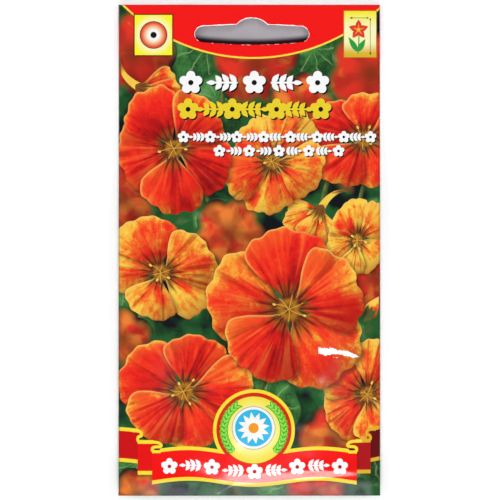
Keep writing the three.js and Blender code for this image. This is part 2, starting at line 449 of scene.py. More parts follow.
def laid(outline, centre=(0, 0), turn=0.0, size=1.0):
    """An outline turned by degrees, scaled and moved to its place."""
    c, s = heading(turn)
    return np.asarray(outline, float) @ (size * np.array([[c, s], [-s, c]])) + centre


def all_round(steps):
    return np.linspace(0, 2 * math.pi, steps, endpoint=False)


def on_circle(angles):
    return np.stack([np.cos(angles), np.sin(angles)], axis=1)


def disc(radius, centre=(0, 0), steps=48):
    return on_circle(all_round(steps)) * radius + centre


def block(left, right, low, high):
    return np.array([(left, low), (right, low), (right, high), (left, high)], float)


def band(path, width, end_width=None):
    """A strip of the given width along a path, narrowing to end_width."""
    path = np.asarray(path, float)
    along = np.gradient(path, axis=0)
    along /= np.linalg.norm(along, axis=1)[:, None]
    side = np.stack([-along[:, 1], along[:, 0]], axis=1)
    half = np.linspace(width, width if end_width is None else end_width, len(path))[:, None] / 2
    return np.concatenate([path + side * half, (path - side * half)[::-1]])


def curve(start, middle, end, steps=14):
    t = np.linspace(0, 1, steps)[:, None]
    start, middle, end = (np.array(p, float) for p in (start, middle, end))
    return (1 - t) ** 2 * start + 2 * t * (1 - t) * middle + t**2 * end


def blade(length, width, steps=8):
    """A pointed oval from its root at the origin along +X."""
    t = np.linspace(0, 1, steps)
    half = width / 2 * np.sin(math.pi * t**0.8)
    upper = np.stack([t * length, half], axis=1)
    lower = np.stack([t * length, -half], axis=1)[-2:0:-1]
    return np.concatenate([upper, lower])


def coated(name):
    """Paper with a clear gloss film: fine unevenness in the film, and slightly uneven gloss."""
    material, shader, start = new_material(name)
    place = start.node("TexCoord", None, None, "Object")
    peel = noise(start, place, 900.0, 2.0)
    bump = start.node("Bump", None, {"Strength": 0.06, "Distance": 0.0002, "Height": peel})
    feed(shader, "Normal", bump)
    feed(shader, "Roughness", 0.36 + 0.12 * noise(start, place, 60.0))
    shader.inputs["Specular IOR Level"].default_value = 0.12
    shader.inputs["Coat Weight"].default_value = 1.0
    shader.inputs["Coat Roughness"].default_value = 0.2
    return material, shader, start


def attribute(start, name, output="Fac"):
    return start.node("Attribute", {"attribute_name": name}, None, output)


def marks(start, *names):
    """Values that the mesh keeps for each printed corner."""
    return [attribute(start, name) for name in names]


def flat_place(start):
    """The place on the flat sheet, in millimetres."""
    return start.node("UVMap", {"uv_map": "sheet_mm"})


def motif_place(start):
    """The place in the shape's own measure, across and up."""
    whole = start.node("UVMap", {"uv_map": "motif"})
    return [start.node("SeparateXYZ", None, {0: whole}, axis) for axis in "XY"]


def motif_turn(start):
    """The reach from the shape's middle, 1 at its own size, and the angle round it."""
    across, up = motif_place(start)
    return (across * across + up * up) ** 0.5, start.maths("ARCTAN2", up, across)


def grain_edge_shade_and_sheen(start, colour):
    """The small uneven take-up of ink by paper, and the light that ink and film swallow.

    The thin darker line along the packet's folds and cut edges is a painted shade of its edges.
    The pale veil along the front's glued foot is a painted sheen of the film's gloss.
    Along the front's glued foot the hot press has left the film a little milky."""
    place = start.node("TexCoord", None, None, "Object")
    grain = noise(start, place, 2200.0, 2.0)
    across, up = (start.node("SeparateXYZ", None, {0: flat_place(start)}, axis) for axis in "XY")
    from_middle = start.maths("ABSOLUTE", across)
    # A thin darker line along the side folds and the cut head and foot: painted shade.
    line_width, fade_start, fade_end = 0.35, 0.4, 0.9  # past a fold the thin line fades again
    at_fold = ease(from_middle, fold_x - line_width, fold_x)
    at_fold = at_fold * ease(from_middle, fold_x + fade_end, fold_x + fade_start)
    at_cut = ease(start.maths("ABSOLUTE", up), half_height - line_width, half_height)
    painted_edge_shade = start.maths("MAXIMUM", at_fold, at_cut)
    # A pale veil mixed into the colour along the glued foot: painted sheen of the gloss film.
    sheen_top, sheen_full = -half_height + 5.2, -half_height + 3.4
    painted_foot_sheen = 0.13 * ease(up, sheen_top, sheen_full)
    painted_foot_sheen = painted_foot_sheen * ease(across, -38, -27) * ease(across, 38.5, 36)
    colour = mix(painted_foot_sheen * ease(noise(start, place, 160.0), 0.2, 0.5), colour, ink(224, 228, 236))
    return mix(0.13 + 0.1 * grain + 0.35 * painted_edge_shade, colour, (0, 0, 0, 1))


def shaded(start, colour, deepest):
    """Darkens a colour where a shape printed over it throws its shadow."""
    return mix(attribute(start, "shade"), colour, mix(attribute(start, "shade"), colour, deepest, "MULTIPLY"))


def printed_finish(name, colour_at):
    """Coated paper whose ink has the colour that colour_at works out."""
    material, shader, start = coated(name)
    feed(shader, "Base Color", grain_edge_shade_and_sheen(start, colour_at(start)))
    return material


def flat_colour(start):
    """One colour over the whole shape, its own."""
    return shaded(start, attribute(start, "ink_colour", "Color"), ink(90, 60, 60))


finishes["flat"] = printed_finish("printed_flat_colour", flat_colour)

# --- The print: the garden behind the flowers ---------------------------------------------------
# A picture of a flower bed fills the front below the header. Its ground is out of focus:
# near-black gaps, dull green leaves and a few warm patches where more flowers stand far back.


def ground_colour(start):
    """Out-of-focus green and near-black."""
    place = flat_place(start)
    wide = noise(start, place, 0.055, 2.0, 0.5, 0.6)
    fine = noise(start, place, 0.16, 2.0, 0.5, 0.4)
    light = ease(wide + 0.45 * (fine - 0.5), 0.36, 0.56)
    colour = mix(light, ink(6, 12, 18), ink(32, 92, 42))
    bright = ease(fine + 0.5 * (wide - 0.5), 0.6, 0.78)
    colour = mix(bright * 0.75, colour, ink(92, 140, 84))
    warm = ease(noise(start, place, 0.075, 1.0), 0.62, 0.75)
    return mix(warm * 0.7, colour, ink(150, 96, 52))


finishes["ground"] = printed_finish("printed_ground", ground_colour)
front_print_edge = fold_x + fold_arc / 2
Shape(block(-front_print_edge, front_print_edge, -half_height, half_height), "ground")

# --- The print: leaves and stems ----------------------------------------------------------------
# Round leaves with pale veins that spread from the stalk, and long bending stalks.
# Those far back are soft at their edges, and those near the front are crisp.


def leaf_colour(start):
    reach, around = motif_turn(start)
    tone, warm, rim, lit = marks(start, "tone", "warm", "rim", "lit")
    offset = start.node("CombineXYZ", None, {"X": tone * 31, "Y": tone * 17})
    where = start.node("VectorMath", {"operation": "ADD"}, {0: flat_place(start), 1: offset})
    patches = noise(start, where, 0.17, 4.0, 0.62)
    colour = mix(ease(patches + 0.14 * lit, 0.32, 0.68), ink(22, 70, 34), ink(64, 134, 62))
    colour = mix(ease(patches + 0.3 * lit, 0.58, 0.9) * 0.7, colour, ink(118, 172, 104))
    wobble = 0.35 * (noise(start, where, 0.35) - 0.5)
    spoke = start.maths("COSINE", (around + wobble) * 9.0) * 0.5 + 0.5
    vein = ease(spoke, 0.94, 1.0) * ease(reach, 1.05, 0.5)
    colour = mix(vein * 0.6, colour, ink(150, 186, 116))
    small = start.maths("ABSOLUTE", noise(start, where, 0.9, 3.0) - 0.5)
    colour = mix(ease(small, 0.03, 0.0) * 0.2, colour, ink(130, 170, 104))
    colour = mix(ease(lit, 0.1, -1.0) * 0.45, colour, ink(30, 60, 50), "MULTIPLY")
    colour = mix(ease(rim, 0.7, 0.1) * 0.35, colour, ink(150, 176, 104))
    colour = shaded(start, colour, ink(25, 50, 45))
    soft_edge = ease(rim, 0.0, 0.2 + 3.2 * warm)
    return mix(soft_edge, ground_colour(start), colour)


def stalk_colour(start):
    across = motif_place(start)[1]
    patches = noise(start, flat_place(start), 0.3)
    colour = mix(ease(patches, 0.35, 0.65), ink(118, 124, 56), ink(74, 108, 52))
    colour = mix(ease(across, -1.0, 0.7), mix(patches, ink(34, 50, 28), ink(44, 70, 34)), colour)
    return shaded(start, colour, ink(60, 40, 30))


finishes["leaf"] = printed_finish("printed_leaves", leaf_colour)
finishes["stalk"] = printed_finish("printed_stalks", stalk_colour)
garden_draw = random.Random(23)


def measured_from(centre, size):
    """Offsets from the centre, 1 at the given size."""
    return lambda points: (points - centre) / size


def add_leaf(x, y, radius, softness, turn=0.0):
    angles = all_round(60)
    phase = garden_draw.uniform(0, 6)
    lobes = 1 + 0.025 * np.sin(7 * angles + phase) + 0.03 * np.sin(3 * angles + 2 * phase)
    outline = on_circle(angles) * (1, 0.86) * (radius * lobes)[:, None]
    heart = np.array([x, y]) + laid([(0.18 * radius, 0.1 * radius)], turn=turn)[0]
    values = {"tone": garden_draw.random(), "warm": softness, "casts": (0.6, 1.8), "dome": ((x, y), radius)}
    Shape(laid(outline, (x, y), turn), "leaf", where=measured_from(heart, radius), **values)


def add_stalk(start, middle, end, width, end_width):
    path = curve(start, middle, end, 26)

    def where(points):
        gaps = np.linalg.norm(points[:, None] - path[None], axis=2)
        near = gaps.argmin(axis=1)
        along = np.gradient(path, axis=0)[near]
        away = points - path[near]
        side = (along[:, 0] * away[:, 1] - along[:, 1] * away[:, 0]) / np.linalg.norm(along, axis=1)
        return np.stack([near / len(path), side / (width / 2)], axis=1)

    Shape(band(path, width, end_width), "stalk", where=where, casts=(0.5, 0.9))


for x, y, radius, softness, turn in (
    (-37, 14, 12.5, 0.8, 20),
    (24, 46, 13, 0.9, -30),
    (-14, 60, 12, 0.8, 50),
    (18, 60, 11, 0.9, 10),
    (-9, 44, 11, 0.7, 80),
    (38, 6, 11, 0.5, 70),
    (-8, 7, 10, 0.4, 140),
    (-38, -22, 11, 0.25, 100),
    (2, -50, 14, 0.2, 15),
    (35, -60, 13, 0.25, -40),
    (-36, -67, 12, 0.3, 30),
    (12, -72, 12, 0.9, 0),
):
    add_leaf(x, y, radius, softness, turn)
add_stalk((-13, 27), (-6, 40), (-9, 60), 1.5, 1.1)
add_stalk((23, -2), (20, 14), (26, 26), 1.9, 1.3)
add_stalk((39, -9), (30, 5), (35, 20), 1.6, 1.3)
add_stalk((-15, -58), (-2, -52), (6, -38), 1.8, 1.3)
add_stalk((-12, -4), (-9, 8), (-15, 22), 1.7, 1.2)

# --- The print: the flowers ---------------------------------------------------------------------
# Open red and orange flowers, each of five broad ruffled petals that overlap, marbled along their
# veins, with dark lines into a golden throat and a few stamens. Those far back are soft shapes.

light_way = np.array([-0.55, 0.83])  # where the light comes from in the printed picture


def petal_colour(start):
    reach, around = motif_turn(start)
    tone, warm, rim, lit, slant = marks(start, "tone", "warm", "rim", "lit", "slant")

    def streaks(spokes, rings, offset, detail, roughness):
        """Noise that is drawn out from the flower's middle towards the petal's edge."""
        parts = {"X": around * spokes + tone * 43, "Y": reach * rings, "Z": tone * 19 + offset}
        return noise(start, start.node("CombineXYZ", None, parts), 1.0, detail, roughness)

    wide = streaks(2.6, 1.7, 0, 3.0, 0.5)
    middle = streaks(10, 2.6, 7, 4.0, 0.6)
    fine = streaks(46, 3.4, 3, 3.0, 0.6)
    place = flat_place(start)
    mottle = noise(start, place, 0.42, 4.0, 0.6, 0.8)
    speckle = noise(start, place, 2.4, 3.0, 0.65)
    marble = wide + 0.45 * (middle - 0.5) + 0.2 * (fine - 0.5)
    marble = marble + 0.5 * (mottle - 0.5) + 0.24 * (speckle - 0.5)
    margin = ease(rim + 3.0 * (mottle - 0.5), 2.4, 0.0)
    redness = marble + 0.9 * (warm - 0.5) + 0.26 * (0.72 - reach) - 0.16 * margin - 0.05 * lit
    stops = [
        (0.18, ink(255, 214, 80)),
        (0.3, ink(255, 168, 52)),
        (0.41, ink(252, 104, 38)),
        (0.55, ink(252, 58, 28)),
        (0.72, ink(246, 36, 24)),
        (0.95, ink(196, 16, 20)),
    ]
    colour = start.node("ValToRGB", {"stops": stops}, {0: redness}, "Color")
    vein = ease(fine, 0.4, 0.26) * ease(reach, 0.1, 0.4)
    colour = mix(vein * 0.3, colour, ink(196, 36, 18))
    rib = streaks(8.5, 0.9, 11, 1.0, 0.5) - streaks(8.5, 0.9, 11.35, 1.0, 0.5)
    fold = rib * slant * ease(reach, 0.15, 0.55)
    colour = mix(ease(fold, 0.01, 0.16) * 0.6, colour, ink(150, 20, 16), "MULTIPLY")
    colour = mix(ease(fold, -0.01, -0.16) * 0.5, colour, ink(255, 132, 56))
    colour = mix(ease(lit, 0.2, -1.0) * 0.7, colour, ink(160, 44, 34), "MULTIPLY")
    colour = mix(ease(lit, 0.2, 1.1) * 0.4, colour, ink(255, 140, 46))
    guides = ease(start.maths("COSINE", around * 17 + 1.6 * (wide - 0.5)), 0.35, 0.95) * ease(reach, 0.5, 0.3)
    throat = ease(reach + 0.34 * (middle - 0.5), 0.4, 0.16)
    colour = mix(ease(reach, 0.36, 0.16) * 0.6, colour, ink(236, 150, 40))
    colour = mix(guides * 0.85, colour, ink(110, 10, 14))
    colour = mix(throat * 0.85, colour, ink(84, 24, 14))
    edge = ease(rim, 0.8, 0.05)
    colour = mix(edge * ease(lit, -0.2, 0.8) * 0.55, colour, ink(255, 214, 116))
    colour = mix(edge * ease(lit, 0.0, -0.9) * 0.35, colour, ink(150, 22, 20))
    return shaded(start, colour, ink(84, 18, 20))


def far_flower_colour(start):
    reach, around = motif_turn(start)
    tone, warm, rim, lit = marks(start, "tone", "warm", "rim", "lit")
    patches = noise(start, flat_place(start), 0.17, 2.0, 0.5, 0.5)
    colour = mix(ease(patches + 0.5 * (warm - 0.5), 0.35, 0.6), ink(240, 132, 52), ink(232, 52, 34))
    gaps = start.maths("COSINE", around * 5.0 + 3.0 * (patches - 0.5) + tone * 6.0) * 0.5 + 0.5
    between = ease(gaps, 0.2, 1.0) * ease(reach, 0.1, 0.5) * ease(reach, 1.1, 0.7)
    colour = mix(between * 0.55, colour, ink(136, 34, 18))
    colour = mix(ease(reach, 0.5, 0.02) * 0.75, colour, ink(96, 48, 16))
    colour = mix(ease(lit, 0.3, -1.0) * 0.75, colour, ink(120, 44, 34), "MULTIPLY")
    colour = shaded(start, colour, ink(80, 30, 28))
    return mix(ease(rim, 0.0, 3.2), ground_colour(start), colour)


def throat_colour(start):
    reach, around = motif_turn(start)
    parts = {"X": around * 7, "Y": reach, "Z": attribute(start, "tone") * 9}
    rays = noise(start, start.node("CombineXYZ", None, parts), 1.0)
    colour = mix(ease(reach + 0.5 * (rays - 0.5), 0.05, 0.45), ink(70, 56, 20), ink(178, 120, 34))
    return mix(ease(reach + 0.8 * (rays - 0.5), 0.4, 0.85), colour, ink(92, 26, 16))


finishes["petal"] = printed_finish("printed_petals", petal_colour)
finishes["far flower"] = printed_finish("printed_far_flowers", far_flower_colour)
finishes["throat"] = printed_finish("printed_throats", throat_colour)
flower_draw = random.Random(77)


def petal_outline(spread, frill, phase):
    """A fan of length 1 along +X: a narrow claw, straight sides, and a broad ruffled end."""
    t = np.linspace(-1, 1, 48)
    end = np.cos(t * math.pi / 2)
    end_angle = spread * np.sin(t * math.pi / 2)
    ruffle = np.sin(12 * end_angle + phase) + 0.7 * np.sin(27 * end_angle + 2.3 * phase)
    end_reach = (0.6 + 0.4 * np.abs(end) ** 0.55) * (1 + frill * ruffle * np.abs(end) ** 0.4)
    down = np.linspace(0, 1, 11)[1:]
    side_angle = spread * (1 - 0.55 * down**2)
    side_reach = 0.6 - 0.56 * down
    angle = np.concatenate([end_angle, side_angle, -side_angle[::-1]])
    reach = np.concatenate([end_reach, side_reach, side_reach[::-1]])
    return reach[:, None] * on_circle(angle)


def petal_place(centre, upright, angle, length):
    """Offsets along the petal and across it, for points of a flower seen at a slant."""
    return lambda points: laid((points - centre) @ upright, turn=-angle) / length


def add_petal(centre, slanted, angle, length, spread, warm, shadow):
    """One petal of a flower at the centre. slanted narrows the outline as the flower leans."""
    outline = petal_outline(spread, flower_draw.uniform(0.014, 0.026), flower_draw.uniform(0, 6))
    outline = laid(outline, turn=angle, size=length) @ slanted + centre
    middle = laid([(0.62 * length, 0)], turn=angle)[0] @ slanted + centre
    values = {"tone": flower_draw.random(), "warm": warm, "slant": float(np.cross(heading(angle), light_way))}
    values |= {"dome": (middle, 0.5 * length), "casts": (0.85, shadow)}
    Shape(outline, "petal", where=petal_place(centre, np.linalg.inv(slanted), angle, length), **values)


def add_flower(x, y, radius, turn, lean, flatness, warm):
    """An open flower seen at a slant: flatness under 1 narrows it along the direction lean."""
    c, s = heading(lean)
    axes = np.array([[c, s], [-s, c]])
    slanted = axes.T @ np.diag([flatness, 1]) @ axes
    centre = np.array([x, y], float)
    for k in (2, 4, 1, 3, 0):
        angle = turn + 72 * k + flower_draw.uniform(-6, 6)
        length = radius * flower_draw.uniform(0.9, 1.08)
        spread = flower_draw.uniform(0.68, 0.82)
        tint = warm + flower_draw.uniform(-0.16, 0.16)
        add_petal(centre, slanted, angle, length, spread, tint, 0.08 * radius)

    spikes = all_round(44)
    throat = 0.22 * radius
    reach = np.where(np.arange(44) % 2, 0.13 * radius, throat) * (1 + 0.12 * np.sin(3 * spikes + turn))
    star = on_circle(spikes) * reach[:, None] @ slanted + centre
    Shape(star, "throat", where=measured_from(centre, throat), tone=flower_draw.random())
    stamen_colour, pale_anther, dark_anther = ink(226, 160, 58), ink(244, 206, 92), ink(104, 82, 36)
    for k in range(7):
        angle = math.radians(turn + 51 * k + flower_draw.uniform(-14, 14))
        tip = centre + radius * flower_draw.uniform(0.12, 0.24) * np.array([math.cos(angle), math.sin(angle)])
        bend = (centre + tip) / 2 + flower_draw.uniform(-0.05, 0.05) * radius
        Shape(band(curve(centre, bend, tip, 5), 0.3, 0.22), "flat", stamen_colour, casts=(0.6, 0.5))
        anther = laid(disc(0.45, steps=10) * (1.25, 0.8), tip, math.degrees(angle))
        Shape(anther, "flat", flower_draw.choice((pale_anther, dark_anther)), casts=(0.6, 0.5))


def add_side_flower(x, y, size, turn, warm):
    """A flower seen from its side: a curved spur, a cupped calyx and petals that spread from it."""
    root = np.array([x, y], float)
    tip = root + laid([(-0.75 * size, 0.3 * size)], turn=turn)[0]
    bend = root + laid([(-0.5 * size, -0.05 * size)], turn=turn)[0]
    spur = band(curve(root, bend, tip, 12), 0.2 * size, 0.05 * size)
    values = {"tone": flower_draw.random(), "warm": 0.2, "casts": (0.7, 1.0)}
    Shape(spur, "petal", where=measured_from(tip, size), **values)
    petals = ((52, 0.9, 0.42), (-50, 0.85, 0.45), (24, 1.0, 0.45), (-22, 1.05, 0.5), (0, 0.92, 0.36))
    for angle, length, spread in petals:
        tint = warm + flower_draw.uniform(-0.14, 0.14)
        add_petal(root, np.eye(2), turn + angle, length * size, spread, tint, 0.08 * size)
    calyx = root - laid([(0.08 * size, 0)], turn=turn)[0]
    for angle in (-24, 0, 24):
        sepal = laid(blade(0.5 * size, 0.17 * size), calyx, turn + angle)
        values = {"tone": flower_draw.random(), "warm": 0.08, "casts": (0.6, 0.8)}
        Shape(sepal, "petal", where=measured_from(root, size), **values)


def add_far_flower(x, y, radius, turn, warm):
    angles = all_round(70)
    reach = radius * (0.8 + 0.2 * np.abs(np.cos(2.5 * (angles - math.radians(turn)))) ** 0.7)
    outline = on_circle(angles) * reach[:, None] + (x, y)
    values = {"tone": flower_draw.random(), "warm": warm, "casts": (0.4, 2.5), "dome": ((x, y), radius)}
    Shape(outline, "far flower", where=measured_from((x, y), radius), **values)


def add_bud(x, y, length, turn):
    """A closed flower on its stalk: a pointed green and orange bud."""
    where = measured_from((x, y), length)
    middle = laid([(0.5 * length, 0)], (x, y), turn)[0]
    values = {"tone": flower_draw.random(), "warm": 0.5, "casts": (0.7, 1.0), "dome": (middle, 0.4 * length)}
    Shape(laid(blade(length, 0.5 * length, 12), (x, y), turn), "petal", where=where, **values)
    for spread in (-16, 0, 16):
        sepal = laid(blade(0.62 * length, 0.2 * length), (x, y), turn + spread)
        Shape(sepal, "stalk", where=lambda points: np.zeros((len(points), 2)), casts=(0.6, 0.5))


for x, y, radius, turn, warm in (
    (2, 57, 14, 20, 0.7),
    (37, 54, 14, 60, 0.8),
    (-36, 60, 14, 5, 0.8),
    (-39, 16, 12, 30, 0.5),
    (39, -8, 13, 10, 0.6),
    (-34, -75, 9, 45, 0.3),
    (20, -75, 10, 15, 0.7),
    (26, -58, 12, 30, 0.45),
    (-6, 5, 12, 60, 0.35),
    (-39, -27, 10, 15, 0.4),
    (16, 44, 11, 0, 0.5),
):
    add_far_flower(x, y, radius, turn, warm)
add_bud(-9, 24, 9, 75)
add_bud(35, -22, 9, 60)
add_side_flower(-34, 50, 13, -35, 0.55)
add_side_flower(22, 13, 12, -125, 0.3)
for x, y, radius, turn, lean, flatness, warm in (
    (33, 3, 13, 40, 160, 0.72, 0.34),
    (35, 34, 18, 12, 100, 0.84, 0.68),
    (7, 27, 17.5, -20, 150, 0.86, 0.5),
    (-23, 31, 19, 50, 20, 0.86, 0.68),
    (36, -44, 16, 75, 10, 0.86, 0.42),
    (-27, -7, 18, 33, 60, 0.88, 0.36),
    (-20, -43, 20.5, 5, 110, 0.9, 0.66),
    (12, -18, 24.5, 18, 30, 0.94, 0.62),
):
    add_flower(x, y, radius, turn, lean, flatness, warm)

# --- The print: the header ----------------------------------------------------------------------
# The head of the sheet, which is glued flat later, is printed plain red above a thin yellow arc
# that hangs from the two top corners.

header_red = ink(250, 20, 18)
line_yellow = ink(255, 224, 74)
arc_radius = 56.96
arc_middle = np.array([1.1, 58.74 + arc_radius])
arc_line = 0.55


def arc_to_top(radius):
    """The arc of this radius round the header's centre, from side to side of the front."""
    half = math.asin(min(1.0, (front_print_edge + 0.6) / radius))
    return arc_middle + radius * on_circle(np.linspace(-math.pi / 2 - half, -math.pi / 2 + half, 60))


top = half_height + 1
for radius, colour in ((arc_radius + arc_line / 2, line_yellow), (arc_radius - arc_line / 2, header_red)):
    arc = arc_to_top(radius)
    below_top = arc[arc[:, 1] < top]
    outline = np.concatenate([below_top, [(below_top[-1, 0], top), (below_top[0, 0], top)]])
    Shape(outline, "flat", colour)

# --- The print: the two pictograms --------------------------------------------------------------
# A framed sun disc says that the plant wants full sun. A framed flower with two measuring arrows
# stands for its size, with the figures left off.


def ringed(middle_colour, *rings):
    """Round bands of colour. Each has the reach where it begins, the reach where it is full, and its ink."""

    def colour_at(start):
        reach, around = motif_turn(start)
        colour = middle_colour
        for near, far, ring_colour in rings:
            colour = mix(ease(reach, near, far), colour, ring_colour)
        return colour

    return colour_at


def size_frame_colour(start):
    across, up = motif_place(start)
    colour = mix(ease(up, 0.35, 0.05), ink(255, 252, 190), ink(226, 184, 44))
    return mix(ease(up, 0.6, 1.0), colour, ink(252, 240, 60))


sun_frame_colour = ringed(ink(255, 252, 214), (0.55, 1.15, ink(255, 250, 44)))
sun_colour = ringed(ink(255, 255, 244), (0.35, 0.72, ink(255, 190, 140)), (0.58, 0.98, ink(230, 74, 40)))
finishes["sun frame"] = printed_finish("printed_sun_frame", sun_frame_colour)
finishes["sun disc"] = printed_finish("printed_sun_disc", sun_colour)
finishes["size frame"] = printed_finish("printed_size_frame", size_frame_colour)


def framed(square, line, line_colour, finish, where):
    """A square patch with a line round it."""
    left, right, low, high = square
    Shape(block(left - line, right + line, low - line, high + line), "flat", line_colour)
    Shape(block(*square), finish, where=where)


dark_red = ink(104, 14, 8)
black = ink(22, 16, 16)
sun = np.array([-29.3, 65.75])
sun_square, frame_line = (-35.06, -23.6, 59.6, 71.9), 0.34
sun_radius, sun_line, sun_dot = 4.0, 0.22, 0.95
framed(sun_square, frame_line, dark_red, "sun frame", measured_from(sun, 1.5 * sun_radius))
Shape(disc(sun_radius + sun_line, sun), "flat", dark_red)
Shape(disc(sun_radius, sun), "sun disc", where=measured_from(sun, sun_radius))
Shape(disc(sun_dot, sun, 20), "flat", black)

size_square, size_line = (29.0, 38.8, 59.0, 73.1), 0.2


def in_size_frame(points):
    left, right, low, high = size_square
    return (points - (left, low)) / (right - left, high - low)


framed(size_square, size_line, ink(170, 130, 20), "size frame", in_size_frame)
small_flower = np.array([33.4, 67.4])
leaf_root = (33.2, 60.6)
leaf_green, petal_red = ink(44, 160, 70), ink(228, 62, 40)
petal_orange, heart_orange = ink(250, 150, 60), ink(250, 190, 60)
Shape(band(curve((33.2, 60.1), (33.7, 63.5), small_flower, 8), 0.34), "flat", leaf_green)
for turn, length in ((122, 5.4), (60, 4.6)):
    Shape(laid(blade(length, 1.7), leaf_root, turn), "flat", leaf_green)
for k in range(5):
    Shape(laid(blade(3.1, 1.9, 10), small_flower, 18 + 72 * k), "flat", petal_red)
    Shape(laid(blade(1.9, 0.4), small_flower, 18 + 72 * k), "flat", petal_orange)
Shape(disc(0.55, small_flower, 14), "flat", heart_orange)

# The two measuring arrows. Each tip is given by a point on its shaft and its point.
arrow_high, arrow_right = 71, 37
arrow_length, arrow_wing = 0.8, 0.32
arrow_tips = (
    ((31.4, arrow_high), (30.7, arrow_high)),
    ((36, arrow_high), (36.7, arrow_high)),
    ((arrow_right, 61), (arrow_right, 59.6)),
    ((arrow_right, 69.7), (arrow_right, 71.1)),
)
for tail, tip in np.array(arrow_tips):
    way = (tip - tail) / np.linalg.norm(tip - tail)
    wing = arrow_wing * np.array([-way[1], way[0]])
    foot = tip - arrow_length * way
    Shape([tip, foot + wing, foot - wing], "flat", black)
half_line = 0.07
Shape(block(31.3, 36.1, arrow_high - half_line, arrow_high + half_line), "flat", black)
Shape(block(arrow_right - half_line, arrow_right + half_line, 60.2, 70.5), "flat", black)

# --- The print: the ornament rows ---------------------------------------------------------------
# Four rows of florets and leafy twigs stand where a title goes, white and yellow, with a dark edge
# to the lower right so that they stand off the picture.

row_white, row_yellow, row_shadow = ink(255, 255, 255), ink(242, 214, 44), ink(20, 14, 14)


def rosette(radius, notch, steps=50):
    """The outline of five round petals that meet in notches, about the origin."""
    angles = all_round(steps)
    reach = radius * (1 - notch + notch * np.abs(np.sin(2.5 * (angles + math.pi / 2))) ** 0.55)
    return on_circle(angles) * reach[:, None]


def floret(height, facing):
    return [rosette(0.53 * height, 0.45)]


def twig(height, facing):
    """A lying twig about the origin: three pairs of leaves and one at its end."""
    parts = [band([(-0.68 * height, 0), (0, 0), (0.4 * height, 0)], 0.09 * height)]
    for root, length in ((-0.62, 0.5), (-0.28, 0.5), (0.06, 0.42)):
        for turn in (52, -52):
            parts.append(laid(blade(length * height, 0.25 * height, 7), (root * height, 0), turn))
    parts.append(laid(blade(0.42 * height, 0.22 * height, 7), (0.32 * height, 0)))
    return [part * (facing, 1) for part in parts]


def garland(left, right, middle, height):
    """Florets and twigs in turn from left to right, and the heart of each floret.

    The twigs point outward from the row's middle."""
    pairs = round((right - left - height) / (2.5 * height))
    step = (right - left - height) / (2 * pairs)
    parts, hearts = [], []
    for k in range(2 * pairs + 1):
        x = left + height / 2 + step * k
        place = np.array([x, middle(x)])
        motif = twig if k % 2 else floret
        facing = -1 if x < (left + right) / 2 else 1
        parts += [part + place for part in motif(height, facing)]
        if motif is floret:
            hearts.append(disc(0.12 * height, place, 12))
    return parts, hearts


def print_all(outlines, colour):
    for outline in outlines:
        Shape(outline, "flat", colour)


def ornament_row(left, right, low, height, colour):
    parts, hearts = garland(left, right, lambda x: low + height / 2, height)
    offset = 0.04 * height + 0.16
    print_all([part + (offset, -offset) for part in parts], row_shadow)
    print_all(parts, colour)
    print_all(hearts, row_shadow)


ornament_row(-21.3, 24.3, 47.8, 6.8, row_white)
ornament_row(-21.9, 25.0, 39.9, 6.3, row_yellow)
ornament_row(-21.9, 38.8, 32.8, 3.5, row_white)
ornament_row(-10.9, 29.0, 28.5, 3.5, row_white)

# --- The print: the ribbon ----------------------------------------------------------------------
# A red ribbon with yellow edges runs across the foot in a low wave. It folds back on itself twice
# at both ends, steps up at each fold, and runs off the packet. Its edges run on into the rim of a
# medallion, and white florets and twigs run along it.

ribbon_red, ribbon_back, ribbon_deep = ink(250, 13, 13), ink(190, 10, 16), ink(104, 5, 9)
ribbon_yellow, ribbon_dark_yellow = ink(255, 228, 56), ink(232, 178, 44)
ribbon_height = 10.6
ribbon_edge = 1.15
ribbon_left, ribbon_right = -29.7, 32.8
wave_level, wave_rise, wave_start, wave_length = -66.05, 0.95, 1.2, 39.4
medallion = np.array([1.4, -54.75])
medallion_rim, medallion_ring = 12.45, 11.42


def ribbon_middle(x):
    """The low wave of the ribbon's middle line."""
    return wave_level - wave_rise * np.cos(2 * math.pi * (x - wave_start) / wave_length)


def ribbon_strip(left, right, level, height, colour, casts=None):
    """A strip of the given height whose middle runs at level(x)."""
    x = np.linspace(left, right, max(3, int((right - left) / 1.2)))
    path = np.stack([x, level(x)], axis=1)
    lower, upper = path - (0, height / 2), path + (0, height / 2)
    Shape(np.concatenate([lower, upper[::-1]]), "flat", colour, casts=casts)


def rounded(path, rounds=3):
    """The path with its corners cut off again and again, until it bends smoothly."""
    path = np.asarray(path, float)
    for _ in range(rounds):
        early, late = 0.75 * path[:-1] + 0.25 * path[1:], 0.25 * path[:-1] + 0.75 * path[1:]
        path = np.concatenate([path[:1], np.stack([early, late], axis=1).reshape(-1, 2), path[-1:]])
    return path


def ribbon_fold(x, y, side, rise, reach, colour):
    """The top edge at a fold: it runs past the lower stretch's corner, turns back and turns again."""
    out = np.array([side, 1.0])
    half = 0.5 * rise
    upper = np.array([(0.2, half), (reach, half), (0.8 * reach, rise), (0.2, rise)])
    lower = np.array([(0.2, 0), (0.8 * reach, 0), (reach, half), (0.2, half)])
    Shape(upper * out + (x, y), "flat", ribbon_back)
    Shape(lower * out + (x, y), "flat", ribbon_deep)
    turns = [(-1.6, rise), (0.8 * reach, rise), (1.2 * reach, half), (0.1, half), (0, 0), (2.6, 0)]
    Shape(band(rounded(turns) * out + (x, y), 0.8 * ribbon_edge), "flat", colour)


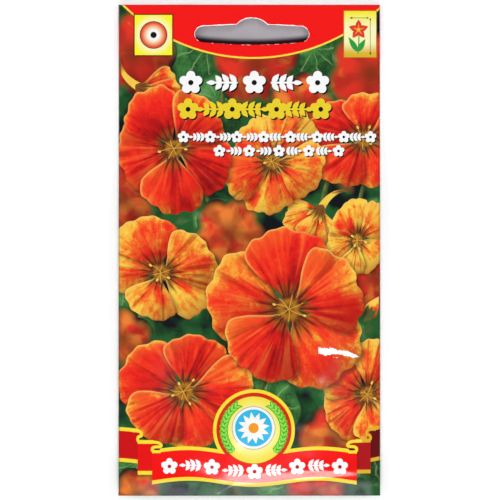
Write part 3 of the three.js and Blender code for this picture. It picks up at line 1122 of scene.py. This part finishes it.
# The steps at both ends come first, because the long stretch lies over them.
left_step, right_step = -63.3, -62.9
faint_shadow, full_shadow = (0.3, 0.8), (0.4, 0.8)
for left, right, level, colour, edge_colour, casts in (
    (-41.5, -33.9, lambda x: -59.3 - 0.009 * (x + 42) ** 2, ink(208, 10, 14), ribbon_yellow, faint_shadow),
    (-34.1, -29.3, lambda x: left_step + 0 * x, ink(236, 13, 14), ribbon_yellow, full_shadow),
    (36.8, 41.5, lambda x: -59.4 + 0.2 * (x - 37), ribbon_deep, ribbon_dark_yellow, faint_shadow),
    (32.4, 37.0, lambda x: right_step + 0 * x, ink(176, 18, 24), ribbon_dark_yellow, full_shadow),
):
    ribbon_strip(left, right, level, ribbon_height, edge_colour, casts)
    ribbon_strip(left, right, level, ribbon_height - 2 * ribbon_edge, colour)
ribbon_strip(ribbon_left, ribbon_right, ribbon_middle, ribbon_height, ribbon_yellow, full_shadow)
Shape(disc(medallion_rim, medallion, 72), "flat", ribbon_yellow)
Shape(disc(medallion_ring, medallion, 72), "flat", ink(214, 40, 16))
ribbon_strip(ribbon_left, ribbon_right, ribbon_middle, ribbon_height - 2 * ribbon_edge, ribbon_red)
for x, level, side, rise, reach, colour in (
    (-34.1, left_step, 1, 3.4, 1.1, ribbon_yellow),
    (ribbon_left, ribbon_middle(ribbon_left), 1, 2.9, 2.7, ribbon_yellow),
    (37.0, right_step, -1, 3.5, 1.1, ribbon_dark_yellow),
    (ribbon_right, ribbon_middle(ribbon_right), -1, 3.3, 2.7, ribbon_yellow),
):
    ribbon_fold(x, level + (ribbon_height - ribbon_edge) / 2, side, rise, reach, colour)
ribbon_parts, ribbon_hearts = garland(-26.8, 30.0, lambda x: ribbon_middle(x) - 0.55, 4.8)
print_all(ribbon_parts, row_white)
print_all(ribbon_hearts, ribbon_back)

# --- The print: the medallion -------------------------------------------------------------------
# A round seal on the ribbon: a pale yellow field inside the rim, a laurel wreath and a plain
# daisy on blue.

field_radius, field_line, wreath_radius = 10.25, 0.17, 9.05
wreath_start, leaf_turn = 42, 8.9  # degrees from the lowest point to the first leaves, and between them
medallion_colour = ringed(ink(255, 252, 160), (0.5, 1.0, ink(250, 230, 68)))
finishes["medallion"] = printed_finish("printed_medallion", medallion_colour)
Shape(disc(field_radius + field_line, medallion, 72), "flat", ink(186, 62, 24))
Shape(disc(field_radius, medallion, 72), "medallion", where=measured_from(medallion, field_radius))
wreath_green, wreath_light = ink(74, 180, 34), ink(150, 232, 84)
for side in (-1, 1):
    stalk = medallion + wreath_radius * on_circle(np.radians(-90 + side * np.linspace(45, 144, 30)))
    Shape(band(stalk, 2.1, 1.6), "flat", wreath_green)
    for leaf_size, green in (((2.5, 1.15, 6), wreath_green), ((2.0, 0.62, 6), wreath_light)):
        for k in range(12):
            angle = math.radians(-90 + side * (wreath_start + leaf_turn * k))
            spot = medallion + wreath_radius * np.array([math.cos(angle), math.sin(angle)])
            along = math.degrees(angle) + side * 90
            for spread in (31, -31):
                Shape(laid(blade(*leaf_size), spot, along + spread), "flat", green)
seal = medallion + (-0.1, 0.65)
for radius, colour in ((6.6, ink(120, 110, 120)), (6.45, ink(252, 252, 252)), (5.65, ink(52, 190, 236))):
    Shape(disc(radius, seal, 48), "flat", colour)
for k in range(12):
    Shape(laid(blade(4.9, 1.8, 10), seal, 30 * k + 9), "flat", ink(255, 255, 250))
Shape(disc(1.55, seal, 24), "flat", ink(250, 160, 40))

# --- The print: the back ------------------------------------------------------------------------
# Pale paper with the header's red along the top, ruled lines, a strip of twelve month cells and
# three round growing signs. The flap that is glued on top carries most of it.

paper_white = ink(246, 243, 232)
header_low, line_width, foot_green_top = 58.5, 0.9, -63.5
for side in (-1, 1):
    near, far = sorted((side * front_print_edge, side * (sheet_reach + 1)))
    Shape(block(near, far, -half_height, half_height), "flat", paper_white)
    Shape(block(near, far, header_low - line_width, half_height), "flat", line_yellow)
    Shape(block(near, far, header_low, half_height), "flat", header_red)
    Shape(block(near, far, -half_height, foot_green_top), "flat", ink(46, 128, 60))
    Shape(block(near, far, foot_green_top, foot_green_top + line_width), "flat", line_yellow)

rule_draw = random.Random(9)
rule_step, rule_width, back_margin = 3.5, 0.32, 5
flap_left, flap_right = back_start + back_margin, sheet_reach - back_margin


def ruled_lines(first, last, top_line, lines, some_short=True):
    """Ruled lines that stand for text. Every fourth may end early, as the last line of a paragraph."""
    for k in range(lines):
        level = top_line - rule_step * k
        end = last - rule_draw.uniform(0, 9) if some_short and k % 4 == 3 else last
        Shape(block(first, end, level, level + rule_width), "flat", ink(120, 122, 124))


ruled_lines(flap_left, flap_right, 51, 14)
ruled_lines(-sheet_reach + 17, -back_start - back_margin, 51, 9)

month_left, month_width, month_gap, month_height = back_start + 6, 2.75, 0.2, 4.2
sign_green, month_orange, month_grey = ink(92, 170, 70), ink(250, 140, 44), ink(208, 204, 188)
for k in range(12):
    for level, months, colour in ((-7.5, (3, 4), sign_green), (-12.5, (5, 6, 7, 8), month_orange)):
        left = month_left + k * (month_width + month_gap)
        cell = block(left, left + month_width, level, level + month_height)
        Shape(cell, "flat", colour if k in months else month_grey)

# Three white signs on round patches: a sun, a drop of water and a seedling.
sun_sign, drop_sign, seedling_sign = (np.array([back_start + 12 + 11 * k, -27.0]) for k in range(3))
sign_yellow, sign_blue = ink(252, 196, 44), ink(64, 150, 220)
for spot, colour in ((sun_sign, sign_yellow), (drop_sign, sign_blue), (seedling_sign, sign_green)):
    Shape(disc(4.4, spot, 40), "flat", colour)
Shape(disc(1.7, sun_sign, 24), "flat", row_white)
for k in range(8):
    ray = laid(blade(1.3, 0.5, 5), sun_sign, 45 * k)
    Shape(ray + 2.2 * heading(45 * k), "flat", row_white)
drop_turn = all_round(30)
drop_width = 1.6 * np.sin(drop_turn) * np.sin(drop_turn / 2)
Shape(np.stack([drop_width, 2.4 * np.cos(drop_turn)], axis=1)[::-1] + drop_sign, "flat", row_white)
Shape(band([seedling_sign + (0, -2.6), seedling_sign, seedling_sign + (0, 0.6)], 0.4), "flat", row_white)
for turn in (35, 145):
    Shape(laid(blade(2.9, 1.5), seedling_sign + (0, 0.2), turn), "flat", row_white)
ruled_lines(flap_left, flap_right, -36, 6, some_short=False)
add_leaf(-back_start - 23, -8, 8, 0.0, 40)
add_leaf(-back_start - 9, -33, 7, 0.0, 10)
add_flower(-back_start - 15, 3, 12, 20, 40, 0.9, 0.62)
add_flower(-back_start - 18, -27, 10.5, 50, 110, 0.88, 0.4)

# --- The hook slot and the white crease ---------------------------------------------------------
# The slot is punched through every layer, and its cut shows the white paper under the ink.
# The white edge is set towards the slot's upper side: a painted highlight where the lamp at the foot
# lights that cut.
# Along one hard crease near the seeds a ragged strip takes the bare paper finish, so that it is white too.

slot_middle = np.array([0.8, half_height - 9])
slot_end, slot_end_x, slot_shoulder = 2.45, 15.0, 3.0
slot_dome, slot_dome_half, slot_belly = 4.95, 4.7, 0.8
dome_foot = 1.2  # how far from the dome the shoulder ends


def arc_over(half_chord, rise, steps):
    """Points of a flat arc from +half_chord to -half_chord that rises to rise in its middle."""
    radius = (half_chord**2 + rise**2) / (2 * rise)
    half = math.asin(half_chord / radius)
    angles = np.linspace(-half, half, steps)
    return np.stack([-radius * np.sin(angles), radius * np.cos(angles) - radius + rise], axis=1)


def slot_outline(grown, roughness, draw):
    """The slot's outline, grown by a margin, with the ragged edge of a worn punch."""
    cap = (slot_end + grown) * on_circle(np.linspace(-math.pi / 2, math.pi / 2, 14))
    dome = arc_over(slot_dome_half + grown, slot_dome - slot_shoulder, 14) + (0, slot_shoulder + grown)
    belly = arc_over(slot_end_x, slot_belly, 40) * (-1, -1) - (0, slot_end + grown)
    shoulders = np.linspace(slot_end_x, slot_dome_half + dome_foot, 14)
    rise = (slot_shoulder - slot_end) / (slot_end_x - slot_dome_half)
    right_top = np.stack([shoulders, slot_end + grown + rise * (slot_end_x - shoulders)], axis=1)
    left_top = (right_top * (-1, 1))[::-1]
    whole = np.concatenate([cap[:-1] + (slot_end_x, 0), right_top, dome, left_top])
    whole = np.concatenate([whole, (cap * (-1, 1))[::-1][1:] - (slot_end_x, 0), belly[1:-1]])
    jitter = np.array([[draw.gauss(0, roughness), draw.gauss(0, roughness)] for _ in whole])
    return whole + jitter


def bare_paper_finish():
    material, shader, start = new_material("bare_paper")
    place = start.node("TexCoord", None, None, "Object")
    fibres = noise(start, place, 1500.0, 4.0, 0.7, 1.5)
    feed(shader, "Base Color", mix(ease(fibres, 0.4, 0.75), ink(255, 252, 251), ink(242, 216, 212)))
    bump = start.node("Bump", None, {"Strength": 0.3, "Distance": 0.0001, "Height": fibres})
    feed(shader, "Normal", bump)
    shader.inputs["Roughness"].default_value = 0.85
    shader.inputs["Specular IOR Level"].default_value = 0.3
    return material


finishes["bare paper"] = bare_paper_finish()
HOLE = "hole"  # the finish of a shape that is cut out
ragged_draw = random.Random(3)

# On the flat sheet the slot lies in the front and, mirrored, in both flaps of the back.
for flap_shift, mirror in ((0, 1), (back_start + fold_x, -1), (-back_start - fold_x, -1)):
    # Shifted up so that it shows along the upper side: bare paper, with a painted highlight of the lit cut.
    bare_and_lit_edge = slot_outline(0.09, 0.05, ragged_draw) + (0, 0.11)
    Shape((bare_and_lit_edge + slot_middle) * (mirror, 1) + (flap_shift, 0), "bare paper")
    Shape((slot_outline(0.0, 0.03, ragged_draw) + slot_middle) * (mirror, 1) + (flap_shift, 0), HOLE)

# The white crease lies along the first hard crease. Its ragged edges are laid over two bent lines.
upper_x, upper_y = [21.0, 26.1, 26.7, 29.4, 31.9, 33.6], [-29.7, -29.95, -30.5, -30.6, -31.6, -32.4]
lower_x, lower_y = [21.0, 23.2, 25.6, 27.6, 31.6, 33.6], [-31.5, -32.2, -31.75, -31.75, -32.9, -32.5]
crack_x = np.linspace(upper_x[0], upper_x[-1], 42)
crack_top = np.interp(crack_x, upper_x, upper_y)
crack_foot = np.interp(crack_x, lower_x, lower_y)
crack_top = crack_top + [ragged_draw.uniform(-0.3, 0.15) for _ in crack_x]
crack_foot = crack_foot + [ragged_draw.uniform(-0.12, 0.22) for _ in crack_x]
crack_sides = [np.stack([crack_x, crack_foot], axis=1), np.stack([crack_x, crack_top], axis=1)[::-1]]
Shape(np.concatenate(crack_sides), "bare paper")
for k in range(7):
    spot = (ragged_draw.uniform(21, 32), ragged_draw.choice((-29.6, -32.9)) + ragged_draw.uniform(-0.3, 0.3))
    flake = disc(1.0, steps=6) * (ragged_draw.uniform(0.12, 0.32), ragged_draw.uniform(0.07, 0.13))
    Shape(laid(flake, spot, -12), "bare paper")

# --- Making the sheet ---------------------------------------------------------------------------
# The flat sheet is cut into triangles along every printed outline and over a fine grid, then each
# point is carried to its place round the folded packet, and the paper is given its thickness.

web_edge = block(-sheet_reach, sheet_reach, -half_height, half_height)


def edge_points(outline, step):
    """The outline with its sides divided into steps of about this length."""
    points = []
    for start, end in zip(outline, np.roll(outline, -1, axis=0)):
        count = max(1, round(float(np.linalg.norm(end - start)) / step))
        points += [start + (end - start) * k / count for k in range(count)]
    return np.array(points)


def staggered(left, right, low, high, step):
    """Points in rows, with every second row shifted by half a step."""
    rows = np.arange(low + step / 2, high - step / 3, step * math.sqrt(3) / 2)
    return np.array([
        (x, y)
        for k, y in enumerate(rows)
        for x in np.arange(left + step * (0.4 + 0.5 * (k % 2)), right - step * 0.3, step)
    ])


def columns(places, step):
    rows = np.arange(-half_height + step, half_height - step / 2, step)
    return np.array([(x, y) for x in places for y in rows])


front_step, back_step, column_step, outline_step, crease_step = 0.95, 2.1, 1.3, 1.1, 0.6
clearance = 0.45  # loose points keep about this far from outlines and creases
lap_columns = [-back_start - (fold_x - lap_end - lap_ramp) - k for k in range(lap_ramp + 1)]
fold_places = [side * (fold_x + fold_arc * k / 4) for side in (-1, 1) for k in (0, 1, 3, 4)]
loose_points = np.concatenate([
    staggered(-fold_x, fold_x, -half_height, half_height, front_step),
    staggered(back_start, sheet_reach, -half_height, half_height, back_step),
    staggered(-sheet_reach, -back_start, -half_height, half_height, back_step),
    columns(lap_columns, column_step),
])

# Rows of points follow the hard creases and the edge of the glued foot, close together near them.
crease_rows = list(columns(fold_places, column_step))
crease_offsets = np.array([-1.9, -1.4, -1.0, -0.7, -0.3, 0, 0.3, 0.7, 1.0, 1.4, 1.9])
foot_line = ((-24.0, foot_edge + 0.4), (36.0, foot_edge + foot_step + 1), 1.2, 0)
for start, end, width, height in [*hard_creases, foot_line]:
    length = math.dist(start, end)
    along = np.subtract(end, start) / length
    across = np.array([-along[1], along[0]])
    for off in crease_offsets * width:
        crease_rows += [start + along * run + across * off for run in np.arange(0, length, crease_step)]
outlines = [edge_points(web_edge, column_step)]
outlines += [edge_points(shape.outline, outline_step) for shape in printed]
taken = np.concatenate(outlines[1:] + [np.array(crease_rows)])
cells = {tuple(cell) for cell in np.floor(taken / clearance).astype(int).tolist()}


def is_clear(point):
    column, row = np.floor(point / clearance).astype(int).tolist()
    return not any((column + i, row + j) in cells for i in (-1, 0, 1) for j in (-1, 0, 1))


free = [point for point in loose_points if is_clear(point)]
points, faces = [], []
for outline in outlines:
    faces.append(list(range(len(points), len(points) + len(outline))))
    points += [tuple(p) for p in outline]
points += [tuple(p) for p in free] + [tuple(p) for p in crease_rows]
fold_lines = []  # no triangle crosses these
for place in fold_places:
    fold_lines.append((len(points), len(points) + 1))
    points += [(place, -half_height), (place, half_height)]
flat_points, _, triangles, _, _, covers = delaunay_2d_cdt(points, fold_lines, faces, 0, 1e-4, True)
flat_points = np.array([tuple(p) for p in flat_points])

# The first outline is the sheet's own. A triangle belongs to the last shape printed over it.
kept = [
    (triangle, max(cover) - 1)
    for triangle, cover in zip(triangles, covers)
    if 0 in cover and len(cover) > 1 and printed[max(cover) - 1].finish != HOLE
]
corners = np.array([triangle for triangle, owner in kept])
owners = np.array([owner for triangle, owner in kept])
used, corners = np.unique(corners, return_inverse=True)
corners = corners.reshape(-1, 3)
flat_points = flat_points[used]


def depth_inside(points, outline):
    """How far each point lies inside a closed outline, in millimetres, and below 0 outside it."""
    start, end = outline, np.roll(outline, -1, axis=0)
    edge = end - start
    away = points[:, None] - start[None]
    run = np.clip((away * edge).sum(axis=2) / np.maximum((edge**2).sum(axis=1), 1e-12), 0, 1)
    gap = np.linalg.norm(away - run[..., None] * edge, axis=2).min(axis=1)
    level = points[:, 1][:, None]
    straddles = (start[:, 1] > level) != (end[:, 1] > level)
    rise = np.where(edge[:, 1] == 0, 1, edge[:, 1])
    to_left = points[:, 0][:, None] < start[:, 0] + edge[:, 0] * (level - start[:, 1]) / rise
    inside = (straddles & to_left).sum(axis=1) % 2 == 1
    return np.where(inside, gap, -gap)


# What each finish reads, for every corner of every printed triangle: the place in the shape's own
# measure, how far inside its outline, how far towards the light, and the shadow of what lies over it.
corner_places = flat_points[corners.ravel()]
corner_owners = np.repeat(owners, 3)
shadow_way = np.array([0.35, -0.45])
motif = np.zeros_like(corner_places)
rim = np.zeros(len(corner_places))
lit = np.zeros(len(corner_places))
shade = np.zeros(len(corner_places))
for index, shape in enumerate(printed):
    mine = corner_owners == index
    if mine.any():
        motif[mine] = shape.where(corner_places[mine])
        if shape.finish in ("petal", "leaf", "far flower"):
            rim[mine] = np.maximum(0, depth_inside(corner_places[mine], shape.outline))
        if shape.dome:
            middle, size = shape.dome
            lit[mine] = np.clip((corner_places[mine] - middle) / size @ light_way, -1.2, 1.2)
    if shape.casts:
        darkness, width = shape.casts
        shadow = shape.outline + shadow_way * width
        low, high = shadow.min(axis=0) - width, shadow.max(axis=0) + width
        near = (corner_owners < index) & np.all((corner_places > low) & (corner_places < high), axis=1)
        if near.any():
            depth = depth_inside(corner_places[near], shadow)
            shade[near] = np.maximum(shade[near], darkness * smooth(-width, 0.25 * width, depth))

# The printed side, the bare side behind it and walls along every cut edge.
face_points, outward = sheet_at(*flat_points.T)
count = len(flat_points)
sides = np.concatenate([corners[:, [0, 1]], corners[:, [1, 2]], corners[:, [2, 0]]])
codes = sides.min(axis=1) * count + sides.max(axis=1)
_, first_seen, times = np.unique(codes, return_index=True, return_counts=True)
rims = sides[first_seen[times == 1]]
walls = [(b, a, a + count, b + count) for a, b in rims]
mesh = bpy.data.meshes.new("folded_sheet")
all_faces = corners.tolist() + (corners[:, ::-1] + count).tolist() + walls
mesh.from_pydata(np.concatenate([face_points, face_points - outward * paper]) * MM, [], all_faces)

marked = {"motif": motif, "sheet_mm": corner_places, "rim": rim, "lit": lit, "shade": shade}
for name in ("tone", "warm", "slant", "ink_colour"):
    marked[name] = np.array([getattr(shape, name) for shape in printed])[corner_owners]
kinds = {1: ("FLOAT", "value"), 2: ("FLOAT2", "vector"), 4: ("FLOAT_COLOR", "color")}
for name, values in marked.items():
    values = values.reshape(len(corner_places), -1)
    kind, field = kinds[values.shape[1]]
    padded = np.zeros((len(mesh.loops), values.shape[1]), np.float32)  # zeros where the paper is bare
    padded[: len(values)] = values
    mesh.attributes.new(name, kind, "CORNER").data.foreach_set(field, padded.ravel())

finish_names = list(finishes)
for material in finishes.values():
    mesh.materials.append(material)
face_finishes = [finish_names.index(printed[owner].finish) for owner in owners]
face_finishes += [finish_names.index("bare paper")] * (len(all_faces) - len(face_finishes))
mesh.polygons.foreach_set("material_index", face_finishes)
mesh.polygons.foreach_set("use_smooth", [True] * len(all_faces))
mesh.set_sharp_from_angle(angle=math.radians(60))
facing = facing_at(*flat_points.T)
cut_edges = np.zeros((4 * len(walls), 3))  # zeros leave a corner's direction to its own face
facings = np.concatenate([facing[corners.ravel()], -facing[corners[:, ::-1].ravel()], cut_edges])
mesh.normals_split_custom_set(facings.tolist())
folded_sheet = bpy.data.objects.new("folded_sheet", mesh)
scene.collection.objects.link(folded_sheet)
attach(folded_sheet, "root")
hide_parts("packet_sheet")

# --- The seeds ----------------------------------------------------------------------------------
# Each seed is a rounded corky nutlet with deep furrows from end to end and a spongy skin.
# They lie loose in the pocket, and each stands where its solid does.


def husk_finish():
    material, shader, start = new_material("corky_husk")
    place = start.node("TexCoord", None, None, "Object")
    coarse = noise(start, place, 700.0, 4.0, 0.6)
    pits = start.node("TexVoronoi", {"feature": "F1"}, {"Vector": place, "Scale": 2400.0})
    colour = mix(ease(coarse, 0.3, 0.7), ink(150, 116, 74), ink(206, 178, 128))
    colour = mix(ease(pits, 0.5, 0.1) * 0.5, colour, ink(96, 68, 42))
    feed(shader, "Base Color", colour)
    feed(shader, "Roughness", 0.8 + 0.15 * coarse)
    height = coarse + 0.5 * pits
    feed(shader, "Normal", start.node("Bump", None, {"Strength": 0.5, "Distance": 0.0002, "Height": height}))
    return material


def furrowed(size, phase, turn, corkiness):
    """A three-sided nutlet along X with furrows from pole to pole, and a lumpy corky skin."""
    body = bmesh.new()
    bmesh.ops.create_icosphere(body, subdivisions=6, radius=1)
    for vert in body.verts:
        x, y, z = vert.co
        around = math.atan2(z, y)
        waist = math.sqrt(max(0.0, 1 - x * x))
        three_sides = 0.05 * math.cos(3 * around + phase) * waist
        wave = math.cos(9 * around + 1.6 * math.sin(3 * x + phase))
        furrows = 0.045 * math.copysign(abs(wave) ** 0.7, wave) * waist
        lumps = 0.012 * mathutils.noise.noise(vert.co * 5 + corkiness)
        lumps += 0.006 * mathutils.noise.noise(vert.co * 14)
        vert.co *= size / 2 * (1 + three_sides + furrows + lumps)
        vert.co.x *= 1.12
    bmesh.ops.rotate(body, verts=body.verts, matrix=mathutils.Matrix.Rotation(turn, 3, "Z"))
    return body


# Each seed's size and turn come from the same draw as its solid's, a plain congruential one.
husk = husk_finish()
mean_seed_size = 6.2
draw_state, draw_factor, draw_step, draw_range = 41, 1664525, 1013904223, 2**32
for number, name in enumerate(seed_nodes):
    drawn = []
    for _ in range(2):
        draw_state = (draw_state * draw_factor + draw_step) % draw_range
        drawn.append(draw_state / draw_range)
    seed_size = mean_seed_size * (0.95 + 0.1 * drawn[0]) * MM
    shift = mathutils.Vector((number, 2 * number, 0))
    body = furrowed(seed_size, number * 1.7, drawn[1] * 2 * math.pi, shift)
    low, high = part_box(name)
    lowest = min(vert.co.z for vert in body.verts)
    seat = ((low.x + high.x) / 2, (low.y + high.y) / 2, low.z - lowest)
    bmesh.ops.translate(body, verts=body.verts, vec=seat)
    for face in body.faces:
        face.smooth = True
    seed_mesh = bpy.data.meshes.new(name.replace("seed", "husk"))
    body.to_mesh(seed_mesh)
    body.free()
    seed_mesh.materials.append(husk)
    seed = bpy.data.objects.new(seed_mesh.name, seed_mesh)
    scene.collection.objects.link(seed)
    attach(seed, "root")
    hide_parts(name)
